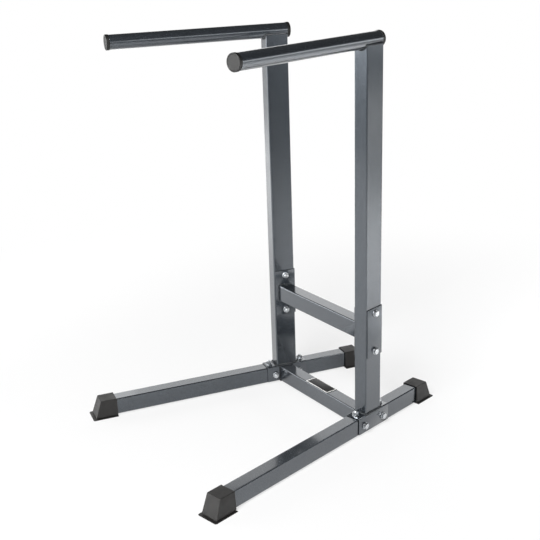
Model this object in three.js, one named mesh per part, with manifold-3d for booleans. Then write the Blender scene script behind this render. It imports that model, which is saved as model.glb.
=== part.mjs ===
// Dip station: two splayed side frames, each an upright with a handle on top and
// legs below, tied together by a bolted mid brace and a welded base crossbar.
// Millimetres, +Z up. The user steps in from the front, which faces -Y.
import * as THREE from 'three';
import { mergeVertices } from 'three/addons/utils/BufferGeometryUtils.js';
import Module from 'manifold-3d';

const wasm = await Module();
wasm.setup();

// Layout of the two side frames
const uprightSpacing = 502;
const frameSplay = THREE.MathUtils.degToRad(12);
const handleSplay = THREE.MathUtils.degToRad(13.5);
const handleAxisHeight = 1301;
const legClearance = 4;

// Handle tube, measured along the handle from the upright's centre line
const handleDiameter = 48;
const handleWall = 2;
const handleFrontReach = 569;
const handleRearReach = 41;

// Plastic caps that close the handle tubes
const capOverhang = 1;
const capHeadThickness = 11;
const capRimRadius = 3;
const capFaceInset = 1;
const capFaceMargin = 4;
const capPlugDepth = 22;
const capPlugWall = 3;

// Upright tube
const uprightWidth = 50;
const uprightDepth = 80;
const uprightWall = 2;
const tubeCornerRadius = 4;
const saddleTrim = 12;

// Leg tubes, each from under the upright outwards
const legWidth = 50;
const legHeight = 60;
const legWall = 2;
const frontLegLength = 722;
const rearLegLength = 301;
const legJointGap = 2;

// Inverted channel that sits over both legs and carries the upright
const sleeveLength = 160;
const sleeveSkirt = 58;
const plateThickness = 3;
const plateBendRadius = 5;
const sideBoltOffset = 49;
const sideBoltLift = 28;
const topBoltOffset = 64;

// Mid brace and the channel brackets at its ends
const braceWidth = 50;
const braceHeight = 60;
const braceWall = 2;
const braceForward = 5;
const braceAxisHeight = 362;
const bracketHeight = 172;
const bracketFrontInset = 4;
const braceBoltSpacing = 136;
const braceBoltSetback = 2;

// Base crossbar and the plate on its top face
const crossbarWidth = 50;
const crossbarHeight = 60;
const crossbarWall = 2;
const crossbarForward = 10;
const labelLength = 128;
const labelWidth = 48;
const labelThickness = 1.5;
const labelCornerRadius = 2;

// Rubber feet, measured along the leg from the foot's open mouth
const footInsertion = 53;
const footBaseLength = 92;
const footWall = 5;
const footTopWall = 3.5;
const footFlangeWidth = 80;
const footFlangeThickness = 2.5;
const footFlangeCornerRadius = 6;
const footToeSetback = 9;
const footEdgeRadius = 4;
const footSideFlare = 4;

// Bolts, nuts and washers
const boltDiameter = 12;
const boltHoleDiameter = 13;
const hexAcrossFlats = 19;
const hexHeadHeight = 7.5;
const hexChamfer = 1.2;
const nutHeight = 10;
const nutBoreDiameter = 12.6;
const washerDiameter = 24;
const washerThickness = 2.5;
const threadStandOut = 4.5;
const domeHeadDiameter = 24;
const domeHeadHeight = 3;

// Fits between pieces, and the overrun of every cut
const seatGap = 0.3;
const cutOverrun = 5;

// Counts of flat steps on round surfaces
const handleSegments = 40;
const boltSegments = 16;
const cornerSegments = 2;

// Sizes that follow from the ones above
const handleRadius = handleDiameter / 2;
const handleBoreRadius = handleRadius - handleWall;
const legTopHeight = legClearance + legHeight;
const legAxisHeight = legClearance + legHeight / 2;
const sideBoltHeight = legClearance + sideBoltLift;
const channelInnerWidth = uprightWidth + 2 * seatGap;
const channelHalfWidth = channelInnerWidth / 2 + plateThickness;
const sleeveTopHeight = legTopHeight + seatGap + plateThickness;
const uprightBaseHeight = sleeveTopHeight + seatGap;
const uprightTopHeight = handleAxisHeight - saddleTrim;
const footHeight = legTopHeight + footTopWall;
const crossbarTop = legClearance + crossbarHeight;
const handleToeOut = handleSplay - frameSplay;
const braceBoltHeights = [
  braceAxisHeight - braceBoltSpacing / 2,
  braceAxisHeight + braceBoltSpacing / 2,
];

const powderCoat = new THREE.MeshStandardMaterial({
  name: 'powder_coat', color: 0x55595e, roughness: 0.42, metalness: 0.35,
});
const blackPlastic = new THREE.MeshStandardMaterial({
  name: 'black_plastic', color: 0x232323, roughness: 0.5, metalness: 0,
});
const blackRubber = new THREE.MeshStandardMaterial({
  name: 'black_rubber', color: 0x2c2a28, roughness: 0.7, metalness: 0,
});
const zincPlate = new THREE.MeshStandardMaterial({
  name: 'zinc_plate', color: 0xc4c7c9, roughness: 0.28, metalness: 1,
});
const labelFinish = new THREE.MeshStandardMaterial({
  name: 'label_plate', color: 0x1f1f1f, roughness: 0.45, metalness: 0,
});

// A closed surface goes to the solid library as bare positions and triangles.
function toSolid(geometry) {
  const bare = geometry.clone();
  bare.deleteAttribute('normal');
  bare.deleteAttribute('uv');
  const welded = mergeVertices(bare);
  return new wasm.Manifold(new wasm.Mesh({
    numProp: 3,
    vertProperties: Float32Array.from(welded.attributes.position.array),
    triVerts: Uint32Array.from(welded.index.array),
  }));
}

function toGeometry(solid) {
  const mesh = solid.getMesh();
  const geometry = new THREE.BufferGeometry();
  geometry.setAttribute('position', new THREE.BufferAttribute(mesh.vertProperties, 3));
  geometry.setIndex(new THREE.BufferAttribute(mesh.triVerts, 1));
  geometry.computeVertexNormals();
  return geometry;
}

function cutAway(geometry, cutters) {
  let solid = toSolid(geometry);
  for (const cutter of cutters) {
    solid = solid.subtract(toSolid(cutter));
  }
  return toGeometry(solid);
}

function joined(first, second) {
  return toGeometry(toSolid(first).add(toSolid(second)));
}

function addPiece(parent, name, geometry, material) {
  const mesh = new THREE.Mesh(geometry, material.clone());
  mesh.name = name;
  parent.add(mesh);
  return mesh;
}

// Outline of a rectangle centred on the origin with rounded corners.
function roundedRectangle(PathClass, width, height, radius) {
  const x = width / 2 - radius;
  const y = height / 2 - radius;
  const path = new PathClass();
  path.absarc(x, y, radius, 0, Math.PI / 2);
  path.absarc(-x, y, radius, Math.PI / 2, Math.PI);
  path.absarc(-x, -y, radius, Math.PI, 1.5 * Math.PI);
  path.absarc(x, -y, radius, 1.5 * Math.PI, 2 * Math.PI);
  path.closePath();
  return path;
}

function tubeSection(width, height, wall) {
  const section = roundedRectangle(THREE.Shape, width, height, tubeCornerRadius);
  const boreRadius = tubeCornerRadius - wall;
  section.holes.push(
    roundedRectangle(THREE.Path, width - 2 * wall, height - 2 * wall, boreRadius),
  );
  return section;
}

// Channel section: closed across the top at y = 0, with two skirts hanging down.
function channelSection(skirtDepth) {
  const outer = channelHalfWidth;
  const inner = channelInnerWidth / 2;
  const bend = plateBendRadius;
  const innerBend = plateBendRadius - plateThickness;
  const depth = plateThickness + skirtDepth;
  const section = new THREE.Shape();
  section.moveTo(outer, -depth);
  section.absarc(outer - bend, -bend, bend, 0, Math.PI / 2);
  section.absarc(-outer + bend, -bend, bend, Math.PI / 2, Math.PI);
  section.lineTo(-outer, -depth);
  section.lineTo(-inner, -depth);
  section.absarc(-inner + innerBend, -bend, innerBend, Math.PI, Math.PI / 2, true);
  section.absarc(inner - innerBend, -bend, innerBend, Math.PI / 2, 0, true);
  section.lineTo(inner, -depth);
  section.closePath();
  return section;
}

function extrudeUp(section, base, top) {
  const geometry = new THREE.ExtrudeGeometry(section, {
    depth: top - base, bevelEnabled: false, curveSegments: cornerSegments,
  });
  return geometry.translate(0, 0, base);
}

// The section's own y becomes z, and the length runs along y.
function extrudeBack(section, front, rear, height) {
  const geometry = extrudeUp(section, 0, rear - front);
  geometry.rotateX(Math.PI / 2);
  return geometry.translate(0, rear, height);
}

function holeAcross(y, height) {
  const length = 2 * (channelHalfWidth + cutOverrun);
  const radius = boltHoleDiameter / 2;
  const geometry = new THREE.CylinderGeometry(radius, radius, length, boltSegments);
  geometry.rotateZ(Math.PI / 2);
  return geometry.translate(0, y, height);
}

function holeDown(y) {
  const length = sleeveTopHeight + 2 * cutOverrun;
  const radius = boltHoleDiameter / 2;
  const geometry = new THREE.CylinderGeometry(radius, radius, length, boltSegments);
  geometry.rotateX(Math.PI / 2);
  return geometry.translate(0, y, length / 2 - cutOverrun);
}

function addHandleTube(handle, side) {
  const length = handleFrontReach + handleRearReach;
  const profile = [
    new THREE.Vector2(handleBoreRadius, 0),
    new THREE.Vector2(handleRadius, 0),
    new THREE.Vector2(handleRadius, length),
    new THREE.Vector2(handleBoreRadius, length),
    new THREE.Vector2(handleBoreRadius, 0),
  ];
  const tube = new THREE.LatheGeometry(profile, handleSegments);
  tube.translate(0, -handleFrontReach, 0);
  addPiece(handle, `${side}_handle_tube`, tube, powderCoat);
}

// One cap: a rounded head with a sunk face, and a hollow plug inside the tube.
function capGeometry() {
  const plugRadius = handleBoreRadius - seatGap;
  const plugBore = plugRadius - capPlugWall;
  const headRadius = handleRadius + capOverhang;
  const faceRadius = headRadius - capFaceMargin;
  const rimCentre = capHeadThickness - capRimRadius;
  const profile = new THREE.Path();
  profile.moveTo(0, seatGap);
  profile.lineTo(plugBore, seatGap);
  profile.lineTo(plugBore, -capPlugDepth);
  profile.lineTo(plugRadius, -capPlugDepth);
  profile.lineTo(plugRadius, seatGap);
  profile.lineTo(headRadius, seatGap);
  profile.absarc(headRadius - capRimRadius, rimCentre, capRimRadius, 0, Math.PI / 2);
  profile.lineTo(faceRadius, capHeadThickness);
  profile.lineTo(faceRadius - capFaceInset, capHeadThickness - capFaceInset);
  profile.lineTo(0, capHeadThickness - capFaceInset);
  return new THREE.LatheGeometry(profile.getPoints(cornerSegments), handleSegments);
}

function addHandleCaps(handle, side) {
  const front = addPiece(handle, `${side}_front_cap`, capGeometry(), blackPlastic);
  front.rotation.x = Math.PI;
  front.position.y = -handleFrontReach;
  const rear = addPiece(handle, `${side}_rear_cap`, capGeometry(), blackPlastic);
  rear.position.y = handleRearReach;
}

// The handle opens a little wider to the front than the frame that carries it.
function addHandle(frame, side, outward) {
  const handle = new THREE.Group();
  addHandleTube(handle, side);
  addHandleCaps(handle, side);
  handle.position.z = handleAxisHeight;
  handle.rotation.z = outward * handleToeOut;
  frame.add(handle);
}

// The upright's top is notched to the handle's round underside.
function addUpright(frame, side, outward) {
  const section = tubeSection(uprightWidth, uprightDepth, uprightWall);
  const tube = extrudeUp(section, uprightBaseHeight, uprightTopHeight);
  const notchRadius = handleRadius + seatGap;
  const notchLength = uprightDepth + 2 * cutOverrun;
  const notch = new THREE.CylinderGeometry(notchRadius, notchRadius, notchLength, handleSegments);
  notch.rotateZ(outward * handleToeOut);
  notch.translate(0, 0, handleAxisHeight);
  const cutters = [notch];
  for (const height of braceBoltHeights) {
    cutters.push(holeAcross(braceBoltSetback, height));
  }
  addPiece(frame, `${side}_upright`, cutAway(tube, cutters), powderCoat);
}

function addSleeve(frame, side) {
  const half = sleeveLength / 2;
  const channel = extrudeBack(channelSection(sleeveSkirt), -half, half, sleeveTopHeight);
  const cutters = [];
  for (const direction of [-1, 1]) {
    cutters.push(holeAcross(direction * sideBoltOffset, sideBoltHeight));
    cutters.push(holeDown(direction * topBoltOffset));
  }
  addPiece(frame, `${side}_leg_sleeve`, cutAway(channel, cutters), powderCoat);
}

function addLegs(frame, side) {
  const section = tubeSection(legWidth, legHeight, legWall);
  const joint = legJointGap / 2;
  const front = extrudeBack(section, -frontLegLength, -joint, legAxisHeight);
  const rear = extrudeBack(section, joint, rearLegLength, legAxisHeight);
  const frontHoles = [holeAcross(-sideBoltOffset, sideBoltHeight), holeDown(-topBoltOffset)];
  const rearHoles = [holeAcross(sideBoltOffset, sideBoltHeight), holeDown(topBoltOffset)];
  addPiece(frame, `${side}_front_leg`, cutAway(front, frontHoles), powderCoat);
  addPiece(frame, `${side}_rear_leg`, cutAway(rear, rearHoles), powderCoat);
}

// Side view of a foot's body: upright at the mouth, sloping down to the toe.
function footBodySection() {
  const topLength = footInsertion + seatGap + footWall;
  const section = new THREE.Shape();
  section.moveTo(0, 0);
  section.lineTo(footBaseLength - footToeSetback, 0);
  section.lineTo(topLength, footHeight - footEdgeRadius);
  section.quadraticCurveTo(topLength, footHeight, topLength - footEdgeRadius, footHeight);
  section.lineTo(0, footHeight);
  section.closePath();
  return section;
}

// Spreads a body's two sides evenly towards the floor.
function flareSides(geometry) {
  const points = geometry.attributes.position;
  const halfWidth = legWidth / 2 + footWall;
  for (let index = 0; index < points.count; index += 1) {
    const drop = 1 - points.getZ(index) / footHeight;
    const widening = 1 + drop * (footSideFlare / halfWidth);
    points.setX(index, points.getX(index) * widening);
  }
  return geometry;
}

// A foot with its mouth at y = 0 and its toe towards +y.
function footGeometry() {
  const width = legWidth + 2 * footWall;
  const body = extrudeUp(footBodySection(), -width / 2, width / 2);
  body.rotateY(Math.PI / 2);
  body.rotateX(Math.PI / 2);
  flareSides(body);
  const flangeSection = roundedRectangle(
    THREE.Shape, footFlangeWidth, footBaseLength, footFlangeCornerRadius,
  );
  const flange = extrudeUp(flangeSection, 0, footFlangeThickness);
  flange.translate(0, footBaseLength / 2, 0);
  const pocketSection = roundedRectangle(
    THREE.Shape, legWidth + 2 * seatGap, legHeight + 2 * seatGap, tubeCornerRadius + seatGap,
  );
  const pocket = extrudeBack(pocketSection, -cutOverrun, footInsertion + seatGap, legAxisHeight);
  return cutAway(joined(body, flange), [pocket]);
}

function addFeet(frame, side) {
  const front = addPiece(frame, `${side}_front_foot`, footGeometry(), blackRubber);
  front.rotation.z = Math.PI;
  front.position.y = footInsertion - frontLegLength;
  const rear = addPiece(frame, `${side}_rear_foot`, footGeometry(), blackRubber);
  rear.position.y = rearLegLength - footInsertion;
}

// The bracket wraps the upright from behind, open towards the front.
function addBraceBracket(frame, side) {
  const rearFace = uprightDepth / 2 + seatGap + plateThickness;
  const skirt = uprightDepth + seatGap - bracketFrontInset;
  const base = braceAxisHeight - bracketHeight / 2;
  const channel = extrudeUp(channelSection(skirt), base, base + bracketHeight);
  channel.translate(0, rearFace, 0);
  const holes = braceBoltHeights.map((height) => holeAcross(braceBoltSetback, height));
  addPiece(frame, `${side}_brace_bracket`, cutAway(channel, holes), powderCoat);
}

// Hexagonal bolt with its seat at z = 0: the head above it, the shank below.
function hexBoltGeometry(length) {
  const corner = hexAcrossFlats / Math.sqrt(3);
  const profile = [
    new THREE.Vector2(0, 0),
    new THREE.Vector2(corner, 0),
    new THREE.Vector2(corner, hexHeadHeight - hexChamfer),
    new THREE.Vector2(corner - hexChamfer, hexHeadHeight),
    new THREE.Vector2(0, hexHeadHeight),
  ];
  const head = new THREE.LatheGeometry(profile, 6);
  const radius = boltDiameter / 2;
  const sunk = hexHeadHeight / 2;
  const shank = new THREE.CylinderGeometry(radius, radius, length + sunk, boltSegments);
  shank.translate(0, (sunk - length) / 2, 0);
  return joined(head, shank).rotateX(Math.PI / 2);
}

// Dome-headed bolt with its seat at z = 0: the head below it, the shank above.
function domeBoltGeometry(length) {
  const radius = boltDiameter / 2;
  const profile = new THREE.Path();
  profile.moveTo(0, -domeHeadHeight);
  profile.absellipse(0, 0, domeHeadDiameter / 2, domeHeadHeight, -Math.PI / 2, 0);
  profile.lineTo(radius, 0);
  profile.lineTo(radius, length);
  profile.lineTo(0, length);
  const geometry = new THREE.LatheGeometry(profile.getPoints(cornerSegments), boltSegments);
  return geometry.rotateX(Math.PI / 2);
}

function nutGeometry() {
  const corner = hexAcrossFlats / Math.sqrt(3);
  const section = new THREE.Shape();
  for (let index = 0; index < 6; index += 1) {
    const angle = index * Math.PI / 3;
    section[index ? 'lineTo' : 'moveTo'](corner * Math.cos(angle), corner * Math.sin(angle));
  }
  section.closePath();
  section.holes.push(new THREE.Path().absarc(0, 0, nutBoreDiameter / 2, 0, 2 * Math.PI));
  return new THREE.ExtrudeGeometry(section, {
    depth: nutHeight, bevelEnabled: false, curveSegments: boltSegments / 2,
  });
}

function washerGeometry() {
  const section = new THREE.Shape().absarc(0, 0, washerDiameter / 2, 0, 2 * Math.PI);
  section.holes.push(new THREE.Path().absarc(0, 0, nutBoreDiameter / 2, 0, 2 * Math.PI));
  return new THREE.ExtrudeGeometry(section, {
    depth: washerThickness, bevelEnabled: false, curveSegments: boltSegments / 2,
  });
}

// A bolt across the frame: washer and head outside, nut on the inner side.
function addCrossBolt(frame, side, outward, label, place, y, height) {
  const turn = outward * Math.PI / 2;
  const washerSeat = channelHalfWidth + seatGap;
  const headSeat = washerSeat + washerThickness + seatGap;
  const nutSeat = channelHalfWidth + seatGap;
  const length = headSeat + nutSeat + nutHeight + threadStandOut;
  const bolt = addPiece(frame, `${side}_${label}_bolt_${place}`, hexBoltGeometry(length), zincPlate);
  const washer = addPiece(frame, `${side}_${label}_washer_${place}`, washerGeometry(), zincPlate);
  const nut = addPiece(frame, `${side}_${label}_nut_${place}`, nutGeometry(), zincPlate);
  bolt.position.set(outward * headSeat, y, height);
  bolt.rotation.y = turn;
  washer.position.set(outward * washerSeat, y, height);
  washer.rotation.y = turn;
  nut.position.set(-outward * nutSeat, y, height);
  nut.rotation.y = -turn;
}

// A bolt up through leg and sleeve: domed head below, washer and nut on top.
function addTopBolt(frame, side, place, y) {
  const headSeat = legClearance - seatGap;
  const washerSeat = sleeveTopHeight + seatGap;
  const nutSeat = washerSeat + washerThickness + seatGap;
  const length = nutSeat + nutHeight + threadStandOut - headSeat;
  const bolt = addPiece(frame, `${side}_top_bolt_${place}`, domeBoltGeometry(length), zincPlate);
  const washer = addPiece(frame, `${side}_top_washer_${place}`, washerGeometry(), zincPlate);
  const nut = addPiece(frame, `${side}_top_nut_${place}`, nutGeometry(), zincPlate);
  bolt.position.set(0, y, headSeat);
  washer.position.set(0, y, washerSeat);
  nut.position.set(0, y, nutSeat);
}

function addFasteners(frame, side, outward) {
  addCrossBolt(frame, side, outward, 'brace', 'lower', braceBoltSetback, braceBoltHeights[0]);
  addCrossBolt(frame, side, outward, 'brace', 'upper', braceBoltSetback, braceBoltHeights[1]);
  addCrossBolt(frame, side, outward, 'side', 'front', -sideBoltOffset, sideBoltHeight);
  addCrossBolt(frame, side, outward, 'side', 'rear', sideBoltOffset, sideBoltHeight);
  addTopBolt(frame, side, 'front', -topBoltOffset);
  addTopBolt(frame, side, 'rear', topBoltOffset);
}

// One side frame, built straight and then turned so that it opens to the front.
function sideFrame(side, outward) {
  const frame = new THREE.Group();
  addHandle(frame, side, outward);
  addUpright(frame, side, outward);
  addSleeve(frame, side);
  addLegs(frame, side);
  addFeet(frame, side);
  addBraceBracket(frame, side);
  addFasteners(frame, side, outward);
  frame.position.x = outward * uprightSpacing / 2;
  frame.rotation.z = outward * frameSplay;
  return frame;
}

// Half the length, at depth y, of a bar that ends against the splayed brackets.
function barHalfLength(y) {
  const stand = (channelHalfWidth + seatGap) / Math.cos(frameSplay);
  return uprightSpacing / 2 - stand - y * Math.tan(frameSplay);
}

// A tube along x, centred on y, with both ends cut to the splay of the side frames.
function mitredBar(width, height, wall, y, base) {
  const front = y - width / 2 - cutOverrun;
  const rear = y + width / 2 + cutOverrun;
  const reach = barHalfLength(front) + cutOverrun;
  const bar = extrudeUp(tubeSection(width, height, wall), -reach, reach);
  bar.rotateY(Math.PI / 2);
  bar.rotateX(Math.PI / 2);
  bar.translate(0, y, base + height / 2);
  const plan = new THREE.Shape();
  plan.moveTo(-barHalfLength(front), front);
  plan.lineTo(barHalfLength(front), front);
  plan.lineTo(barHalfLength(rear), rear);
  plan.lineTo(-barHalfLength(rear), rear);
  plan.closePath();
  const envelope = extrudeUp(plan, base - cutOverrun, base + height + cutOverrun);
  return toGeometry(toSolid(bar).intersect(toSolid(envelope)));
}

function addCrossMembers(station) {
  const braceBase = braceAxisHeight - braceHeight / 2;
  const brace = mitredBar(braceWidth, braceHeight, braceWall, -braceForward, braceBase);
  addPiece(station, 'mid_brace', brace, powderCoat);
  const crossbar = mitredBar(
    crossbarWidth, crossbarHeight, crossbarWall, -crossbarForward, legClearance,
  );
  addPiece(station, 'base_crossbar', crossbar, powderCoat);
}

// The plate lies on the middle of the crossbar's top face.
function addLabelPlate(station) {
  const outline = roundedRectangle(THREE.Shape, labelLength, labelWidth, labelCornerRadius);
  const plate = extrudeUp(outline, crossbarTop, crossbarTop + labelThickness);
  addPiece(station, 'label_plate', plate, labelFinish)
    .position.y = -crossbarForward;
}

// The finished part stands on z = 0, centred on its own footprint.
function centreOnFootprint(station) {
  const box = new THREE.Box3().setFromObject(station, true);
  const centre = box.getCenter(new THREE.Vector3());
  station.position.set(-centre.x, -centre.y, -box.min.z);
}

const group = new THREE.Group();
const station = new THREE.Group();
station.add(sideFrame('left', -1));
station.add(sideFrame('right', 1));
addCrossMembers(station);
addLabelPlate(station);
centreOnFootprint(station);
group.add(station);

export default group;
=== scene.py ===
import math

import bmesh
import bpy
from mathutils import Matrix, Vector


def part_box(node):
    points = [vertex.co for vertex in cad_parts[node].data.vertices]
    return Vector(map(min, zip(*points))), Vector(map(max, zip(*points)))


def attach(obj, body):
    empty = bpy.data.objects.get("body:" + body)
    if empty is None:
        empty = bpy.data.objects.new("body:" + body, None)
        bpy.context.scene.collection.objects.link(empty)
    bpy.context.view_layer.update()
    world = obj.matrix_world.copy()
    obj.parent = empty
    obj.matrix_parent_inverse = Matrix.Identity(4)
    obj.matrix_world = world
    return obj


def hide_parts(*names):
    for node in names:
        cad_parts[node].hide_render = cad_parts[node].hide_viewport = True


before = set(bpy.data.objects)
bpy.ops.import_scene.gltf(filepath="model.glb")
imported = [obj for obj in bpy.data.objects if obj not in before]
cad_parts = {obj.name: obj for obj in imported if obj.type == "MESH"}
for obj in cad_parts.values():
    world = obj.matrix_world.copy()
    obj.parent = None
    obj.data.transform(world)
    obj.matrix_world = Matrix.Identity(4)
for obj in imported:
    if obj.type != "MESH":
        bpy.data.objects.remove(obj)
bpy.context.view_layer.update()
print("frame loaded,", len(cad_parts), "nodes")

mm = 0.001
sides = ("left", "right")
ends = ("front", "rear")
body = "root"


# Where things are: every place and outer size is read from the CAD nodes.

splay = {
    "frame": math.radians(12),  # each side frame opens this far to the front
    "handle": math.radians(13.5),  # the handles open a little wider
}


def outwardOf(side):
    return -1 if side == "left" else 1


def boxCentre(node):
    low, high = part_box(node)
    return (low + high) / 2


def sidePlace(side):
    centre = boxCentre(f"{side}_upright")
    turn = Matrix.Rotation(outwardOf(side) * splay["frame"], 4, "Z")
    return Matrix.Translation((centre.x, centre.y, 0)) @ turn


def handleTurn(side):
    return outwardOf(side) * (splay["handle"] - splay["frame"])


def handlePlace(side):
    height = boxCentre(f"{side}_handle_tube").z
    turn = Matrix.Rotation(handleTurn(side), 4, "Z")
    return sidePlace(side) @ Matrix.Translation((0, 0, height)) @ turn


def localBox(node, place):
    back = place.inverted()
    points = [back @ vertex.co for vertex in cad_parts[node].data.vertices]
    low = Vector([min(point[axis] for point in points) for axis in range(3)])
    high = Vector([max(point[axis] for point in points) for axis in range(3)])
    return low, high


# Shapes: outlines, lofts and lathed bodies.

shaping = {
    "cornerSteps": 6,
    "support": 0.3 * mm,  # keeps the flat beside a bend flat in its shading
    "latheSteps": 96,
    "tiny": 0.001 * mm,  # points closer than this are one point
    "softSegments": 2, "softAngle": 40, "sharpAngle": 32,
}


def filleted(corners, closed=True):
    # Corners are (x, y, radius); the first and last of an open line stay sharp
    points = []
    count = len(corners)
    for index, (x, y, radius) in enumerate(corners):
        corner = Vector((x, y))
        atEnd = not closed and index in (0, count - 1)
        if radius == 0 or atEnd:
            points.append(corner)
            continue
        before = Vector(corners[index - 1][:2]) - corner
        after = Vector(corners[(index + 1) % count][:2]) - corner
        before.normalize()
        after.normalize()
        half = before.angle(after) / 2
        reach = radius / math.tan(half)
        centre = corner + (before + after).normalized() * (radius / math.sin(half))
        start = corner + before * reach
        end = corner + after * reach
        points.append(start + before * shaping["support"])
        for step in range(shaping["cornerSteps"] + 1):
            share = step / shaping["cornerSteps"]
            points.append(centre + turnedBetween(start - centre, end - centre, share))
        points.append(end + after * shaping["support"])
    return points


def turnedBetween(first, second, share):
    angle = first.angle_signed(second)
    return Matrix.Rotation(-angle * share, 2) @ first


def rectangle(width, height, radius):
    x = width / 2
    y = height / 2
    return filleted([(x, y, radius), (-x, y, radius), (-x, -y, radius), (x, -y, radius)])


def matchedDenser(outer, inner, step):
    # Both loops keep the same count: the inner one follows the outer one's shares
    denseOuter = []
    denseInner = []
    count = len(outer)
    for index in range(count):
        following = (index + 1) % count
        pieces = max(1, math.ceil((outer[following] - outer[index]).length / step))
        for piece in range(pieces):
            denseOuter.append(outer[index].lerp(outer[following], piece / pieces))
            denseInner.append(inner[index].lerp(inner[following], piece / pieces))
    return denseOuter, denseInner


def finished(bm, place=None):
    bmesh.ops.remove_doubles(bm, verts=bm.verts, dist=shaping["tiny"])
    bmesh.ops.recalc_face_normals(bm, faces=bm.faces)
    if place:
        bm.transform(place)
    mesh = bpy.data.meshes.new("work")
    bm.to_mesh(mesh)
    bm.free()
    return mesh


def bridged(bm, first, second):
    count = len(first)
    for index in range(count):
        following = (index + 1) % count
        bm.faces.new((first[index], first[following], second[following], second[index]))


def hollowBar(outer, inner, startAt, endAt, point):
    bm = bmesh.new()
    rings = []
    for loop in (outer, inner):
        for reach in (startAt, endAt):
            rings.append([bm.verts.new(point(u, v, reach(u, v))) for u, v in loop])
    outerStart, outerEnd, innerStart, innerEnd = rings
    bridged(bm, outerStart, outerEnd)
    bridged(bm, innerEnd, innerStart)
    bridged(bm, innerStart, outerStart)
    bridged(bm, outerEnd, innerEnd)
    return bm


def lofted(levels, point):
    bm = bmesh.new()
    rings = [[bm.verts.new(point(u, v, t)) for u, v in outline] for t, outline in levels]
    for lower, upper in zip(rings, rings[1:]):
        bridged(bm, lower, upper)
    bm.faces.new(rings[0])
    bm.faces.new(rings[-1])
    return bm


def extruded(outline, point, start, end):
    return lofted([(start, outline), (end, outline)], point)


def lathed(profile, closed):
    # The profile's points are (radius, height); a radius of zero makes a pole
    count = shaping["latheSteps"]
    bm = bmesh.new()
    rings = []
    for radius, height in profile:
        if radius < shaping["tiny"]:
            rings.append([bm.verts.new((0, 0, height))])
            continue
        ring = []
        for step in range(count):
            angle = 2 * math.pi * step / count
            point = (radius * math.cos(angle), radius * math.sin(angle), height)
            ring.append(bm.verts.new(point))
        rings.append(ring)
    pairs = list(zip(rings, rings[1:]))
    if closed:
        pairs.append((rings[-1], rings[0]))
    for first, second in pairs:
        joinRings(bm, first, second)
    return bm


def joinRings(bm, first, second):
    if len(first) > 1 and len(second) > 1:
        bridged(bm, first, second)
        return
    pole, ring = (first[0], second) if len(first) == 1 else (second[0], first)
    for index in range(len(ring)):
        bm.faces.new((pole, ring[index], ring[(index + 1) % len(ring)]))


def linked(name, data):
    thing = bpy.data.objects.new(name, data)
    bpy.context.scene.collection.objects.link(thing)
    return thing


def addPiece(name, mesh, nodes, material, sharpAngle=shaping["sharpAngle"]):
    mesh.name = name
    mesh.materials.clear()
    mesh.materials.append(material)
    mesh.shade_smooth()
    mesh.set_sharp_from_angle(angle=math.radians(sharpAngle))
    piece = linked(name, mesh)
    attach(piece, body)
    if nodes:
        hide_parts(*nodes)


def withModifier(mesh, kind, settings):
    carrier = linked("carrier", mesh)
    modifier = carrier.modifiers.new("work", kind)
    for key, value in settings.items():
        setattr(modifier, key, value)
    return bakedMesh(carrier)


def bakedMesh(carrier):
    depsgraph = bpy.context.evaluated_depsgraph_get()
    result = bpy.data.meshes.new_from_object(carrier.evaluated_get(depsgraph))
    carrier.modifiers.clear()
    bpy.data.objects.remove(carrier)
    return result


def softEdges(mesh, width, angle=shaping["softAngle"]):
    return withModifier(mesh, "BEVEL", {
        "width": width, "segments": shaping["softSegments"], "limit_method": "ANGLE",
        "angle_limit": math.radians(angle), "harden_normals": False,
    })


# Materials: what each surface is made of and how it was finished.

white = (1, 1, 1, 1)
noiseSpan = (0.3, 0.7)  # a noise stays in here nearly everywhere


def linear(hexText):
    # The constants are those of the sRGB curve
    channels = []
    for start in (1, 3, 5):
        share = int(hexText[start:start + 2], 16) / 255
        channels.append(share / 12.92 if share <= 0.04045 else ((share + 0.055) / 1.055) ** 2.4)
    return (*channels, 1)


def addNode(tree, kind, settings=None, inputs=None):
    node = tree.nodes.new(kind)
    for key, value in (settings or {}).items():
        setattr(node, key, value)
    for key, value in (inputs or {}).items():
        if isinstance(value, bpy.types.NodeSocket):
            tree.links.new(value, node.inputs[key])
        else:
            node.inputs[key].default_value = value
    return node


def vectorMath(tree, operation, first, second=None):
    inputs = {0: first} if second is None else {0: first, 1: second}
    return addNode(tree, "ShaderNodeVectorMath", {"operation": operation}, inputs).outputs


def mathNode(tree, operation, first, second=None):
    inputs = {0: first} if second is None else {0: first, 1: second}
    return addNode(tree, "ShaderNodeMath", {"operation": operation}, inputs).outputs["Value"]


def startMaterial(name):
    material = bpy.data.materials.new(name)
    material.use_nodes = True
    tree = material.node_tree
    shader = tree.nodes["Principled BSDF"]
    coordinates = addNode(tree, "ShaderNodeTexCoord").outputs["Object"]
    return material, tree, shader, coordinates


def noiseAt(tree, coordinates, size, detail=2, roughness=0.5):
    # A noise whose blotches are about this size in metres
    return addNode(tree, "ShaderNodeTexNoise", inputs={
        "Vector": coordinates, "Scale": 1 / size, "Detail": detail, "Roughness": roughness,
    }).outputs["Fac"]


def ranged(tree, noise, low, high):
    return addNode(tree, "ShaderNodeMapRange", inputs={
        "Value": noise, "From Min": noiseSpan[0], "From Max": noiseSpan[1],
        "To Min": low, "To Max": high,
    }).outputs["Result"]


def mixedColor(tree, factor, first, second):
    node = addNode(tree, "ShaderNodeMix", {"data_type": "RGBA"})
    for socket, value in (("Factor_Float", factor), ("A_Color", first), ("B_Color", second)):
        target = next(s for s in node.inputs if s.identifier == socket)
        if isinstance(value, bpy.types.NodeSocket):
            tree.links.new(value, target)
        else:
            target.default_value = value
    return next(s for s in node.outputs if s.identifier == "Result_Color")


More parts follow.
